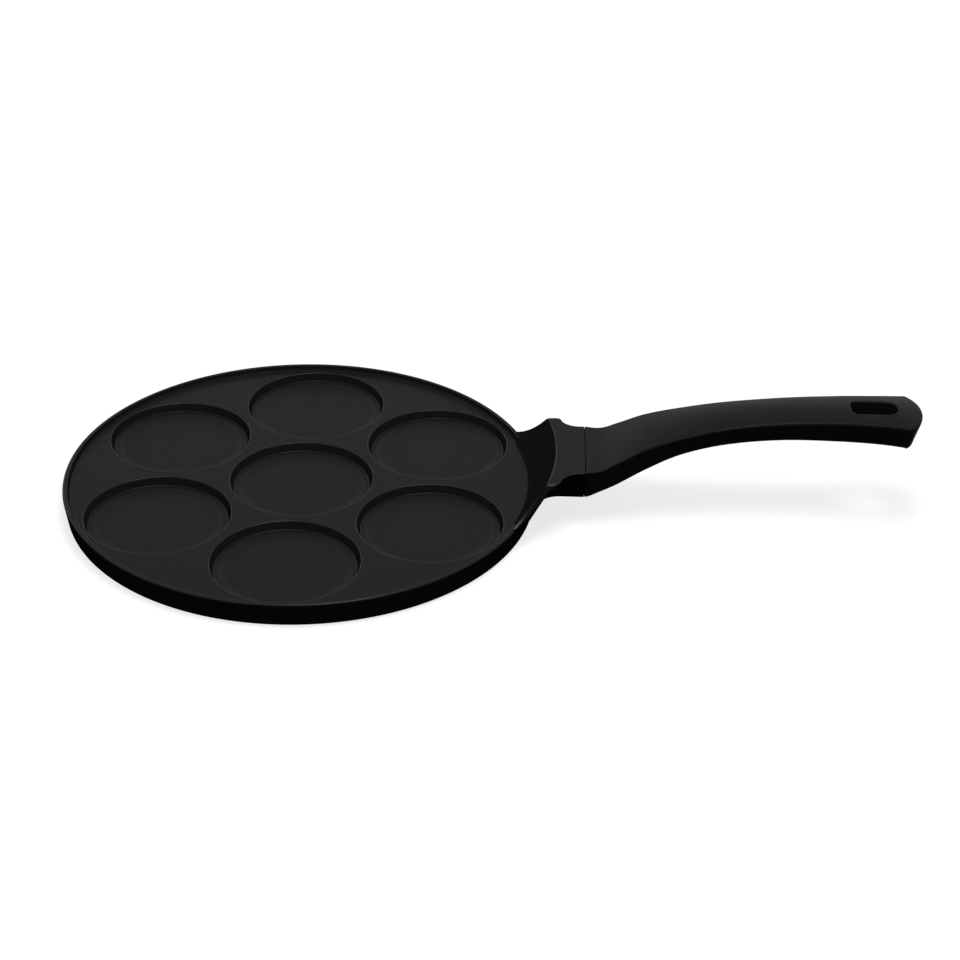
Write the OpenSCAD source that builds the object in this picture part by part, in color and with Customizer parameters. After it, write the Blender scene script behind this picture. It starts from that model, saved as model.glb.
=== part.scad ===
// A low cast pan with seven round pockets and one moulded handle.
// Sizes are in millimetres. The origin is the centre of the underside of the base,
// +X runs out to the handle and +Z is up.

/* [Pockets] */
// Width of a pocket at its lip
pocket_d = 79; // [70:0.5:86]
// Depth of a pocket's wall below the baking surface
pocket_depth = 4; // [3:0.1:5]
// Drop from the ledge at the wall's foot to the flat floor
dish_drop = 0.4; // [0.1:0.1:0.8]
// Width of the gentle slope between the ledge and the flat floor
dish_w = 5.6; // [3:0.2:9]
// Width of the ledge at the wall's foot
ledge_w = 0.5; // [0.3:0.1:1.5]
// Lean of a pocket's wall from upright, in degrees
pocket_lean = 22; // [10:1:30]
// Rounding of a pocket's lip
lip_r = 0.8; // [0.4:0.1:1]
// Rounding at the foot of a pocket's wall
foot_r = 1.2; // [0.6:0.1:1.4]
// Width of the web between neighbouring pockets
web_w = 5.4; // [4:0.2:9]

/* [Dish] */
// Thickness of the metal under a pocket's flat floor
floor_t = 6.6; // [4:0.2:9]
// Height of the rim above the baking surface
rim_rise = 3; // [2.8:0.1:6]
// Thickness of the rim
rim_w = 2.7; // [2.2:0.1:3.2]
// Distance from the lips of the outer pockets to the outside of the rim
border_w = 6.1; // [5.8:0.1:10]
// Fillet between the rim and the baking surface
rim_fillet_r = 2.3; // [1:0.1:2.4]
// Rounding of the rim's outer edge
rim_outer_r = 1.2; // [0.6:0.1:1.4]
// Rounding of the rim's inner edge
rim_inner_r = 0.5; // [0.2:0.1:0.6]
// How much the outer wall draws in towards the base
wall_draw = 1.5; // [0.5:0.1:2]
// Rounding between the outer wall and the base
base_r = 2.5; // [1.5:0.1:4]

/* [Bracket] */
// Height of the bracket's crest above the rim
crest_rise = 19.5; // [15:0.5:25]
// How far the crest stands out past the rim
crest_out = 9.8; // [7:0.2:12]
// Width of the bracket at its crest
crest_w = 72.2; // [68:0.2:80]
// Width of the bracket where it leaves the rim
flare_w = 103.6; // [96:0.2:112]
// Radius of the sweep from the rim up to the crest
sweep_r = 36; // [28:1:60]
// Rounding of the crest's two corners
crest_corner_r = 3; // [1:0.1:4]
// Thickness of the flared wall in its middle
flare_t = 5.6; // [4:0.2:7]
// Distance from the outside of the rim to the seam with the handle
neck_len = 25.3; // [22:0.1:30]
// Width of the neck's top at the seam
neck_w = 52; // [46:0.5:58]
// Thickness of the neck at the seam
neck_t = 19.9; // [18:0.1:22]
// Slope of the bracket's top up towards the handle, in degrees
neck_slope = 3.3; // [0:0.1:6]
// Fillet between the neck and the flared wall
neck_fillet_r = 13; // [9:0.5:14]

/* [Tang and screw] */
// Width of the tang inside the handle
tang_w = 22; // [18:0.5:26]
// Length of the tang past the seam
tang_len = 23; // [21:0.5:26]
// Distance from the top of the neck down to the top of the tang
tang_drop = 4.4; // [4:0.1:6]
// Thickness of the tang at the seam
tang_t = 12; // [10:0.5:13]
// Thickness of the tang at its end
tang_tip_t = 4.4; // [4:0.1:6]
// Play between the tang and the sides of its socket
tang_play = 0.3; // [0.1:0.1:0.6]
// Distance from the seam to the screw
screw_in = 14.5; // [13:0.5:16]
// Diameter of the screw
screw_d = 5; // [4:0.5:6]
// Length of the screw under its head
screw_len = 10; // [9:0.5:10.5]
// Diameter of the screw's head
head_d = 9; // [8:0.2:11]
// Height of the screw's head
head_h = 2.6; // [2:0.1:3.2]
// Width of the driver's cross in the screw's head
cross_w = 5; // [3:0.2:6]
// Depth of the driver's cross
cross_depth = 1.4; // [0.8:0.1:1.6]
// Width of one arm of the driver's cross
cross_arm = 1.1; // [0.8:0.1:1.4]
// Thickness of the spring washer
washer_t = 1.2; // [0.8:0.1:1.6]
// Thickness of the metal under the spring washer
seat_t = 3.8; // [3:0.1:4.4]
// Outer diameter of the thread insert
insert_d = 8; // [7.4:0.2:9]
// Length of the thread insert
insert_len = 5.5; // [5:0.1:5.8]
// Radial play around the screw and its head
screw_play = 0.3; // [0.1:0.05:0.5]
// Radial play between the screw and its thread insert
thread_play = 0.05; // [0.05:0.05:0.15]

/* [Handle] */
// Length of the handle from the seam to its tip
handle_len = 180.5; // [160:0.1:210]
// How far the handle's top climbs above the neck
handle_rise = 29; // [20:0.5:36]
// Thickness of the grip, from the edge of its top to its underside
grip_t = 13.9; // [12:0.1:17]
// Width of the handle at its waist
waist_w = 29.4; // [24:0.2:34]
// Distance from the seam to the waist
waist_in = 98.7; // [85:0.5:115]
// Width of the handle near its end
end_w = 37; // [32:0.5:44]
// Radius of the handle's end, seen from above
end_r = 30; // [24:0.5:40]
// How far the end draws in from its top to its underside
end_draw = 4; // [2:0.2:7]
// Width of the underside for each unit of width of the top
under_share = 0.74; // [0.6:0.01:0.9]
// Height of the crown along the middle of the top
crown_h = 1.9; // [0.5:0.1:3]
// Rounding of the handle's upper edges
upper_edge_r = 1.6; // [0.8:0.1:3]
// Rounding of the handle's lower edges
lower_edge_r = 3; // [2:0.2:6]
// Rounding of the upper edges where the handle meets the neck
seam_edge_r = 0.5; // [0.3:0.1:1.5]
// Rounding all round the edge of the handle's end
end_edge_r = 2; // [1:0.2:4]

/* [Hanging slot] */
// Length of the hanging slot
slot_len = 24.7; // [18:0.1:30]
// Width of the hanging slot
slot_w = 13.4; // [13:0.2:16]
// Rounding of the slot's corners nearer the pan
slot_r = 4.2; // [2:0.2:4.4]
// Rounding of the slot's corners nearer the tip
slot_tip_r = 6; // [2:0.2:6.4]
// Distance from the slot to the tip of the handle
slot_in = 14; // [11:0.1:18]

/* [Hidden] */
$fn = 96;
eps = 0.01;

// Six pockets fit around one of the same size, and the handle points between two of them
ring_pockets = 6;
pocket_r = pocket_d / 2;
pattern_r = pocket_d + web_w;
pan_r = pattern_r + pocket_r + border_w;

// Heights above the underside of the base
floor_z = floor_t;
ledge_z = floor_z + dish_drop;
land_z = ledge_z + pocket_depth;
rim_z = land_z + rim_rise;
crest_z = rim_z + crest_rise;

// The bracket and the seam
flare_slope = crest_out / crest_rise;
seam_x = pan_r + neck_len;
neck_z = crest_z + (neck_len - crest_out) * tan(neck_slope);
under_z = neck_z - neck_t;
neck_under_w = neck_w * under_share;

// The tang and the screw
tang_z = neck_z - tang_drop;
tang_x = seam_x + tang_len;
tang_root = neck_len / 3;
screw_x = seam_x + screw_in;
seat_z = tang_z - seat_t;
head_z = seat_z - washer_t;

// The handle
tip_x = seam_x + handle_len;
grip_z = neck_z + handle_rise;
under_rise = handle_rise + neck_t - grip_t;
slot_x = tip_x - slot_in - slot_len / 2;

// Rows along the handle: share of the length, share of the top's climb, share of the underside's climb
climb = [
    [0.00, 0.000, 0.000],
    [0.05, 0.020, 0.090],
    [0.10, 0.170, 0.210],
    [0.18, 0.420, 0.450],
    [0.28, 0.620, 0.700],
    [0.41, 0.805, 0.880],
    [0.58, 0.940, 0.985],
    [0.75, 0.998, 1.000],
    [0.88, 1.000, 0.985],
    [1.00, 0.985, 0.945]
];
// Share of the length over which the crown grows to its full height, and over which it sinks at the end
crown_grows = 0.3;
crown_sinks = 0.08;
// Power with which the round end fades into the straight rings
end_fade = 8;
handle_steps = 34;
cap_steps = 3;
edge_steps = 3;
crown_steps = 4;

// Curve through the rows, with the slope at each row taken from its neighbours
function last(rows) = len(rows) - 1;
function row_before(rows, u) = max([for (i = [0 : last(rows) - 1]) rows[i][0] <= u ? i : 0]);
function row_slope(rows, col, i) =
    i == 0 ? 0 :
    let (a = rows[i - 1], b = rows[min(i + 1, last(rows))])
    (b[col] - a[col]) / (b[0] - a[0]);
function smooth_step(a, b, da, db, t) =
    a * (2 * t * t * t - 3 * t * t + 1) + b * (3 * t * t - 2 * t * t * t)
    + da * (t * t * t - 2 * t * t + t) + db * (t * t * t - t * t);
function curve(rows, col, u) =
    let (i = row_before(rows, u), step = rows[i + 1][0] - rows[i][0])
    smooth_step(
        rows[i][col], rows[i + 1][col],
        row_slope(rows, col, i) * step, row_slope(rows, col, i + 1) * step,
        (u - rows[i][0]) / step
    );

// Two parabolas that meet at the waist give the handle's width at a distance from the seam
function handle_w(along) =
    along < waist_in
    ? waist_w + (neck_w - waist_w) * pow(1 - along / waist_in, 2)
    : waist_w + (end_w - waist_w) * pow((along - waist_in) / (handle_len - waist_in), 2);
function top_z(u) = neck_z + handle_rise * curve(climb, 1, u);
function bottom_z(u) = under_z + under_rise * curve(climb, 2, u);
function crown_at(u) = crown_h * min(1, u / crown_grows, 0.5 + (1 - u) / crown_sinks / 2);
function upper_r_at(u) = seam_edge_r + (upper_edge_r - seam_edge_r) * min(1, u / crown_grows);

// Corner b between a and c, rounded off at a distance r from it
function toward(from, to, r) = from + (to - from) / norm(to - from) * r;
function bend(a, b, c, r, steps) =
    let (p = toward(b, a, r), q = toward(b, c, r))
    [for (i = [0 : steps]) let (t = i / steps) p * pow(1 - t, 2) + b * 2 * t * (1 - t) + q * t * t];

// Right half of the handle's section, from the middle of its underside to the middle of its top
function half_section(u) =
    let (
        w = handle_w(u * handle_len) / 2,
        z0 = bottom_z(u),
        z1 = top_z(u),
        low = [w * under_share, z0],
        high = [w, z1],
        inner = w - 2 * upper_r_at(u)
    )
    concat(
        [[0, z0]],
        bend([0, z0], low, high, lower_edge_r, edge_steps),
        bend(low, high, [0, z1 + crown_at(u)], upper_r_at(u), edge_steps),
        [for (i = [0 : crown_steps])
            let (y = inner * (1 - i / crown_steps)) [y, z1 + crown_at(u) * (1 - pow(y / w, 2))]]
    );
function section(u) =
    let (half = half_section(u), n = last(half))
    concat(half, [for (i = [n - 1 : -1 : 1]) [-half[i][0], half[i][1]]]);

// How far a point of the end lies short of the tip
function end_sag(y, z) =
    end_r - sqrt(pow(end_r, 2) - pow(min(abs(y), end_r), 2)) + end_draw * (grip_z - z) / grip_t;
function ring(u, inset, back, share = 1) =
    let (
        flat = section(u),
        middle = [0, (top_z(u) + bottom_z(u)) / 2],
        shrink = [1 - 2 * inset / end_w, 1 - 2 * inset / grip_t] * share
    )
    [for (p = flat)
        let (y = (p[0] - middle[0]) * shrink[0], z = middle[1] + (p[1] - middle[1]) * shrink[1])
        [seam_x + u * handle_len - back - end_sag(y, z) * pow(u, end_fade), y, z]];
handle_rings = concat(
    [for (k = [0 : handle_steps - 1]) ring(k / handle_steps * (1 - end_edge_r / handle_len), 0, 0)],
    [for (a = [0, 30, 60, 90]) ring(1, end_edge_r * (1 - cos(a)), end_edge_r * (1 - sin(a)))],
    [for (k = [1 : cap_steps]) ring(1, end_edge_r, 0, 1 - k / (cap_steps + 1))]
);

module handle_block() {
    ring_n = len(handle_rings[0]);
    rings = len(handle_rings);
    tip = [tip_x - end_sag(0, (top_z(1) + bottom_z(1)) / 2), 0, (top_z(1) + bottom_z(1)) / 2];
    seam = [seam_x, 0, (neck_z + under_z) / 2];
    points = concat([for (r = handle_rings) each r], [tip, seam]);
    start = [for (j = [0 : ring_n - 1]) [j, (j + 1) % ring_n, rings * ring_n + 1]];
    sides = [for (k = [0 : rings - 2]) for (j = [0 : ring_n - 1])
        let (a = k * ring_n + j, b = k * ring_n + (j + 1) % ring_n)
        each [[a, b + ring_n, b], [a, a + ring_n, b + ring_n]]];
    end = [for (j = [0 : ring_n - 1])
        [(rings - 1) * ring_n + (j + 1) % ring_n, (rings - 1) * ring_n + j, rings * ring_n]];
    polyhedron(points, concat(start, sides, end), convexity = 6);
}

// Plain shapes
module along_x(length) {
    rotate([90, 0, 90]) linear_extrude(length) children();
}

module across_y(width) {
    rotate([90, 0, 0]) linear_extrude(width, center = true) children();
}

module rounded_slot(length, width, r, tip_r) {
    translate([-length / 2 + r, -width / 2]) square([length - r - tip_r, width]);
    translate([-length / 2, -width / 2 + r]) square([length / 2, width - 2 * r]);
    translate([0, -width / 2 + tip_r]) square([length / 2, width - 2 * tip_r]);
    for (y = [-1, 1]) {
        translate([-length / 2 + r, y * (width / 2 - r)]) circle(r);
        translate([length / 2 - tip_r, y * (width / 2 - tip_r)]) circle(tip_r);
    }
}

// The dish
module dish_profile() {
    difference() {
        union() {
            square([pan_r - rim_w, land_z]);
            square([pan_r - wall_draw - base_r, rim_z - rim_outer_r]);
            polygon([
                [pan_r - rim_w - rim_fillet_r, base_r],
                [pan_r - wall_draw, base_r],
                [pan_r, rim_z - rim_outer_r],
                [pan_r - rim_w, rim_z - rim_outer_r]
            ]);
            translate([pan_r - wall_draw - base_r, base_r]) circle(base_r);
            translate([pan_r - rim_outer_r, rim_z - rim_outer_r]) circle(rim_outer_r);
            translate([pan_r - rim_w + rim_inner_r, rim_z - 2 * rim_inner_r])
                square([rim_w - rim_inner_r - rim_outer_r, 2 * rim_inner_r]);
            translate([pan_r - rim_w + rim_inner_r, rim_z - rim_inner_r]) circle(rim_inner_r);
            translate([pan_r - rim_w, land_z]) square([rim_w - rim_outer_r, rim_rise - rim_inner_r]);
        }
        // Room above the baking surface
        translate([-eps, land_z])
            square([pan_r - rim_w - rim_fillet_r + eps, 2 * rim_rise]);
        translate([pan_r - rim_w - rim_fillet_r - eps, land_z + rim_fillet_r])
            square([rim_fillet_r + eps, 2 * rim_rise]);
        translate([pan_r - rim_w - rim_fillet_r, land_z + rim_fillet_r]) circle(rim_fillet_r);
    }
}

module dish() {
    rotate_extrude($fn = 180) dish_profile();
}

// Section of the room inside a pocket, with the lip rounded over and the foot filleted
wall_run = (pocket_depth - (lip_r + foot_r) * (1 - sin(pocket_lean))) / cos(pocket_lean);
foot_x = pocket_r - (lip_r + foot_r) * cos(pocket_lean) - wall_run * sin(pocket_lean);
wall_low = [foot_x + foot_r * cos(pocket_lean), ledge_z + foot_r * (1 - sin(pocket_lean))];
wall_high = [pocket_r - lip_r * cos(pocket_lean), land_z - lip_r * (1 - sin(pocket_lean))];

module pocket_profile() {
    difference() {
        union() {
            polygon([
                [0, floor_z],
                [foot_x - ledge_w - dish_w, floor_z],
                [foot_x - ledge_w, ledge_z],
                [foot_x, ledge_z],
                wall_low,
                wall_high,
                [pocket_r, land_z],
                [pocket_r, land_z + lip_r],
                [0, land_z + lip_r]
            ]);
            translate([foot_x, ledge_z + foot_r]) circle(foot_r);
        }
        translate([pocket_r, land_z - lip_r]) circle(lip_r);
    }
}

module pocket() {
    rotate_extrude($fn = 120) pocket_profile();
}

module pockets() {
    pocket();
    for (i = [0 : ring_pockets - 1])
        rotate([0, 0, (i + 0.5) * 360 / ring_pockets]) translate([pattern_r, 0, 0]) pocket();
}

// The bracket: the front view gives its swept edges, and two cones give the flared wall
rim_corner_x = sqrt(pow(pan_r, 2) - pow(flare_w / 2, 2));
flare_bulge = pan_r + flare_t - rim_corner_x;
flare_r = (pow(flare_w / 2, 2) + pow(flare_bulge, 2)) / (2 * flare_bulge);
sweep_a = [crest_w / 2, crest_z];
sweep_b = [flare_w / 2, rim_z];
sweep_chord = norm(sweep_b - sweep_a);
sweep_side = [sweep_a[1] - sweep_b[1], sweep_b[0] - sweep_a[0]] / sweep_chord;
sweep_c = (sweep_a + sweep_b) / 2 + sweep_side * sqrt(pow(sweep_r, 2) - pow(sweep_chord / 2, 2));
corner_z = crest_z - crest_corner_r;
corner_y = sweep_c[0] - sqrt(pow(sweep_r + crest_corner_r, 2) - pow(sweep_c[1] - corner_z, 2));
corner_c = [corner_y, corner_z];

module bracket_front() {
    for (side = [0, 1]) mirror([side, 0]) difference() {
        square([sweep_c[0], crest_z + crest_rise]);
        translate(sweep_c) circle(sweep_r, $fn = 180);
        difference() {
            polygon([
                corner_c,
                toward(corner_c, sweep_c, 1.2 * crest_corner_r),
                [corner_y + 2 * crest_corner_r, crest_z + crest_rise],
                [corner_y, crest_z + crest_rise]
            ]);
            translate(corner_c) circle(crest_corner_r);
        }
    }
}

module flared_wall() {
    intersection() {
        translate([pan_r + flare_t - flare_r, 0, eps]) cylinder(
            h = crest_z + crest_rise,
            r1 = flare_r - flare_slope * (rim_z - eps),
            r2 = flare_r + flare_slope * 2 * crest_rise,
            $fn = 180
        );
        translate([pan_r / 2, 0, 0]) along_x(pan_r) bracket_front();
    }
}

// The neck has the handle's own section at the seam
neck_lean = atan((neck_w - neck_under_w) / 2 / neck_t);

module neck() {
    translate([pan_r - neck_len / 2, 0, 0]) along_x(1.5 * neck_len) polygon(section(0));
}

// Fillet along the corner between the neck's side and the flared wall, which starts above the neck's underside
fillet_lift = 1.8;
crest_front_r = flare_r + flare_slope * crest_rise;
corner_x = pan_r + flare_t - flare_r + sqrt(pow(crest_front_r, 2) - pow(neck_w / 2, 2));
flare_tilt = atan(flare_slope);
// Turn of the flared wall away from square to the neck's side, level and then across the corner
wall_turn = asin((neck_w / 2 + neck_fillet_r / 4) / crest_front_r);
corner_turn = atan((tan(wall_turn) * cos(flare_tilt) + sin(flare_tilt) * sin(neck_lean)) / cos(neck_lean));
// Distance from the corner to the lines where the fillet is tangent, and how far the fillet goes to them
tangent_run = neck_fillet_r / tan(45 + corner_turn / 2);
reach = 0.94 * tangent_run;

module neck_fillet() {
    deep = neck_fillet_r / 4;
    translate([corner_x, neck_w / 2, crest_z]) rotate([-neck_lean, 0, 0]) rotate([0, flare_tilt, 0])
        translate([0, 0, -1.1 * neck_t]) linear_extrude(1.6 * neck_t) difference() {
            polygon([
                [-deep, -deep],
                [reach, -deep],
                [reach, 0],
                [-sin(corner_turn) * reach, cos(corner_turn) * reach],
                [-sin(corner_turn) * reach - deep, cos(corner_turn) * reach - deep / 2]
            ]);
            translate([tangent_run, neck_fillet_r]) circle(neck_fillet_r);
        }
}

// What the bracket leaves free: the dish, the inside of the flare and the air over its top
module room_inside() {
    rotate_extrude($fn = 180) polygon([
        [0, -eps],
        [pan_r - rim_outer_r, -eps],
        [pan_r - rim_outer_r, rim_z - 2 * rim_inner_r],
        [pan_r - rim_w + rim_inner_r, rim_z - 2 * rim_inner_r],
        [pan_r - rim_w + rim_inner_r, rim_z - rim_inner_r],
        [pan_r + crest_out, crest_z],
        [pan_r + 2 * crest_out + rim_w, crest_z + crest_rise],
        [0, crest_z + crest_rise]
    ]);
}

module room_above() {
    translate([pan_r + crest_out, 0, crest_z]) rotate([0, -neck_slope, 0])
        translate([-2 * neck_len, -flare_w, 0]) cube([4 * neck_len, 2 * flare_w, 2 * crest_rise]);
}

module bracket() {
    difference() {
        flared_wall();
        room_inside();
        room_above();
    }
    difference() {
        neck();
        room_inside();
        room_above();
    }
    difference() {
        for (side = [0, 1]) mirror([0, side, 0]) neck_fillet();
        room_inside();
        room_above();
        translate([pan_r, -flare_w, -neck_t])
            cube([neck_len, 2 * flare_w, neck_t + under_z + fillet_lift]);
    }
}

// The tang: its top is level, and its underside climbs with the handle
module tang() {
    across_y(tang_w) polygon([
        [seam_x - tang_root, tang_z],
        [tang_x, tang_z],
        [tang_x, tang_z - tang_tip_t],
        [seam_x, tang_z - tang_t],
        [seam_x - tang_root, tang_z - tang_t]
    ]);
}

// Its socket in the handle is open below
module tang_socket() {
    translate([seam_x - eps, -tang_w / 2 - tang_play, 0])
        cube([tang_len + tang_play + eps, tang_w + 2 * tang_play, tang_z]);
}

module screw_bores() {
    translate([screw_x, 0, under_z]) cylinder(h = seat_z - under_z, r = head_d / 2 + screw_play);
    translate([screw_x, 0, under_z]) cylinder(h = neck_t, r = screw_d / 2 + screw_play);
}

// The pieces
module pan_body() {
    color("#1c1c1d") difference() {
        union() {
            dish();
            bracket();
            tang();
        }
        pockets();
        screw_bores();
    }
}

module handle() {
    color("#222223") difference() {
        handle_block();
        tang_socket();
        translate([screw_x, 0, tang_z - eps]) cylinder(h = insert_len + eps, r = insert_d / 2);
        translate([slot_x, 0, under_z]) linear_extrude(2 * grip_z) 
            rounded_slot(slot_len, slot_w, slot_r, slot_tip_r);
    }
}

module thread_insert() {
    color("#c9a24a") translate([screw_x, 0, tang_z]) difference() {
        cylinder(h = insert_len, r = insert_d / 2);
        translate([0, 0, -eps]) cylinder(h = insert_len + 2 * eps, r = screw_d / 2 + thread_play);
    }
}

module handle_screw() {
    color("#b8bbbe") translate([screw_x, 0, head_z]) difference() {
        union() {
            cylinder(h = screw_len, r = screw_d / 2);
            translate([0, 0, -head_h]) cylinder(h = head_h, r1 = 0.8 * head_d / 2, r2 = head_d / 2);
        }
        for (turn = [0, 90]) rotate([0, 0, turn])
            translate([-cross_w / 2, -cross_arm / 2, -head_h - eps]) cube([cross_w, cross_arm, cross_depth]);
    }
}

module spring_washer() {
    color("#a9acaf") translate([screw_x, 0, head_z]) difference() {
        cylinder(h = washer_t, r = head_d / 2);
        translate([0, 0, -eps]) cylinder(h = washer_t + 2 * eps, r = screw_d / 2 + screw_play);
        translate([0, -cross_arm / 2, -eps]) cube([head_d, cross_arm, washer_t + 2 * eps]);
    }
}

pan_body();
handle();
thread_insert();
handle_screw();
spring_washer();
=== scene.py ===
import math

import bmesh
import bpy
from bpy.props import FloatProperty, FloatVectorProperty, PointerProperty, StringProperty
from mathutils import Matrix, Vector


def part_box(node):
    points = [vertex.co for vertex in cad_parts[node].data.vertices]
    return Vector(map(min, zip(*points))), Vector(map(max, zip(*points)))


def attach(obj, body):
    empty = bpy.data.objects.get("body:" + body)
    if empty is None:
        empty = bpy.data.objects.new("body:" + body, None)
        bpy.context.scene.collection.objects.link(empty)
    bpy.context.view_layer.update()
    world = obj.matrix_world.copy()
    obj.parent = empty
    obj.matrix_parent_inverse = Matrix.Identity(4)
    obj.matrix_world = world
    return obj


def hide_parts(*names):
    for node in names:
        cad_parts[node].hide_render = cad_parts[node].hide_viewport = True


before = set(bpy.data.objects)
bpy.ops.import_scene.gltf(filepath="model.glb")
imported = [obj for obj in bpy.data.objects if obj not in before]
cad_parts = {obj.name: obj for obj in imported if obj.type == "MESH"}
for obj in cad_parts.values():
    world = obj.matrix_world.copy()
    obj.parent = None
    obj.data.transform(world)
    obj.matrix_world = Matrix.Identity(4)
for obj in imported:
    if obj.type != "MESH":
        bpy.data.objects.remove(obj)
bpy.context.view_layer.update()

bl_info = {
    "name": "Aebleskiver pan",
    "version": (1, 0, 0),
    "blender": (4, 5, 0),
    "location": "View3D > Sidebar > Pan",
    "description": "Cast pan with round pockets and a moulded handle, and the stage it is shown on",
    "category": "Object",
}

MM = 0.001
SEW = 1e-6
SMOOTH_ANGLE = math.radians(32)
ROD_SIDES = 96


# Sizes, colours and stage settings that a user would change

def length(name, description, default):
    return FloatProperty(
        name=name, description=description, default=default, min=0.0, precision=5, unit="LENGTH",
    )


def turn(name, description, degrees):
    return FloatProperty(name=name, description=description, default=math.radians(degrees), unit="ROTATION")


class CastingSizes(bpy.types.PropertyGroup):
    pocket_width: length("Pocket width", "Width of a pocket at its lip", 0.0798)
    pocket_depth: length("Pocket depth", "Depth of a pocket's wall below the baking surface", 0.0044)
    pocket_lean: turn("Pocket lean", "Lean of a pocket's wall from upright", 24)
    web: length("Web", "Width of the web between neighbouring pockets", 0.0046)
    border: length("Border", "From the lips of the outer pockets to the outside of the rim", 0.0057)
    floor_thickness: length("Floor thickness", "Metal under a pocket's flat floor", 0.0062)
    dish_drop: length("Floor drop", "Drop from the foot of a pocket's wall to its flat floor", 0.0004)
    rim_rise: length("Rim rise", "Height of the rim above the baking surface", 0.003)
    rim_width: length("Rim width", "Thickness of the rim", 0.0027)
    wall_draw: length("Wall draw", "How much the outer wall draws in towards the base", 0.0015)
    crest_rise: length("Crest rise", "Height of the bracket's crest above the rim", 0.0195)
    crest_out: length("Crest reach", "How far the crest stands out past the rim", 0.0098)
    crest_width: length("Crest width", "Width of the bracket at its crest", 0.0742)
    flare_width: length("Flare width", "Width of the bracket where it leaves the rim", 0.107)
    flare_thickness: length("Flare thickness", "Thickness of the flared wall in its middle", 0.0056)
    sweep_radius: length("Sweep radius", "Radius of the sweep from the rim up to the crest", 0.036)
    neck_length: length("Neck length", "From the outside of the rim to the seam with the handle", 0.0253)
    neck_width: length("Neck width", "Width of the neck's top at the seam", 0.052)
    neck_thickness: length("Neck thickness", "Thickness of the neck at the seam", 0.0199)
    neck_slope: turn("Neck slope", "Slope of the bracket's top up towards the handle", 3.3)
    neck_fillet: length("Neck fillet", "Fillet between the neck and the flared wall", 0.013)


class HandleSizes(bpy.types.PropertyGroup):
    reach: length("Length", "Length of the handle from the seam to its tip", 0.1805)
    rise: length("Rise", "How far the handle's top climbs above the neck", 0.029)
    grip_thickness: length("Grip thickness", "From the edge of the grip's top to its underside", 0.0139)
    waist_width: length("Waist width", "Width of the handle at its waist", 0.0312)
    waist_distance: length("Waist distance", "Distance from the seam to the waist", 0.0987)
    end_width: length("End width", "Width of the handle near its end", 0.0388)
    end_radius: length("End radius", "Radius of the handle's end, seen from above", 0.030)
    end_draw: length("End draw", "How far the end draws in from its top to its underside", 0.004)
    crown: length("Crown", "Height of the crown along the middle of the top", 0.0019)
    slot_length: length("Slot length", "Length of the hanging slot", 0.0247)
    slot_width: length("Slot width", "Width of the hanging slot", 0.0134)
    slot_inset: length("Slot inset", "Distance from the slot to the tip", 0.014)


class FinishColours(bpy.types.PropertyGroup):
    coating: StringProperty(name="Coating", description="Colour of the non-stick coating", default="#161616")
    phenolic: StringProperty(name="Phenolic", description="Colour of the moulded handle", default="#161616")
    bare_base: StringProperty(name="Bare base", description="Colour of the turned base", default="#b9bbbd")
    zinc: StringProperty(name="Zinc", description="Colour of the plated screw", default="#a9adb2")
    spring: StringProperty(name="Spring steel", description="Colour of the washer", default="#8c9095")
    brass: StringProperty(name="Brass", description="Colour of the thread insert", default="#c9a35a")


class StageSettings(bpy.types.PropertyGroup):
    lamp_height: length("Lamp height", "Height of the soft lamp over the floor", 1.35)
    lamp_size: length("Lamp size", "Width of the soft lamp", 0.5)
    lamp_power: FloatProperty(name="Lamp power", description="Power of the soft lamp in watts", default=15.0)
    fill: FloatProperty(name="Fill", description="Strength of the even light from all round", default=0.35)
    floor_colour: StringProperty(name="Floor", description="Colour of the floor", default="#ffffff")
    lens: FloatProperty(name="Lens", description="Focal length in millimetres", default=81.98)
    camera_place: FloatVectorProperty(
        name="Camera place", description="Where the camera stands", unit="LENGTH",
        default=(0.12086, -1.03441, 0.62800),
    )
    camera_aim: FloatVectorProperty(
        name="Camera aim", description="The point in the middle of the view", unit="LENGTH",
        default=(0.09842, 0.00329, 0.0110),
    )
    camera_roll: turn("Camera roll", "Turn of the camera about its own axis", 1.0168)


# Small curves

def arc(x, z, radius, start, end, steps):
    """Points of an arc about (x, z), from a start to an end angle in degrees."""
    turns = [math.radians(start + (end - start) * i / steps) for i in range(steps + 1)]
    return [(x + radius * math.cos(a), z + radius * math.sin(a)) for a in turns]


def toward(a, b, distance):
    """The point at a distance from a on the way to b."""
    gap = math.hypot(b[0] - a[0], b[1] - a[1])
    return (a[0] + (b[0] - a[0]) * distance / gap, a[1] + (b[1] - a[1]) * distance / gap)


def bend(p, corner, q, steps):
    """A soft bend from p to q that turns at a corner."""
    points = []
    for i in range(steps + 1):
        t = i / steps
        a, b, c = (1 - t) ** 2, 2 * t * (1 - t), t * t
        points.append((a * p[0] + b * corner[0] + c * q[0], a * p[1] + b * corner[1] + c * q[1]))
    return points


def line(a, b, steps):
    """Points on the way from a to b, without its two ends."""
    return [(a[0] + (b[0] - a[0]) * i / steps, a[1] + (b[1] - a[1]) * i / steps) for i in range(1, steps)]


def inset(points, distance):
    """A closed outline moved inwards by a distance."""
    count = len(points)
    area = sum(a[0] * b[1] - b[0] * a[1] for a, b in zip(points, points[1:] + points[:1]))
    side = 1 if area > 0 else -1
    moved = []
    for i, (x, y) in enumerate(points):
        ax, ay = points[i - 1]
        bx, by = points[(i + 1) % count]
        gap = math.hypot(bx - ax, by - ay) or 1
        moved.append((x - side * (by - ay) / gap * distance, y + side * (bx - ax) / gap * distance))
    return moved


# Making and joining meshes

def deselect():
    bpy.ops.object.select_all(action="DESELECT")


def make_active(piece):
    deselect()
    piece.select_set(True)
    bpy.context.view_layer.objects.active = piece


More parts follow.
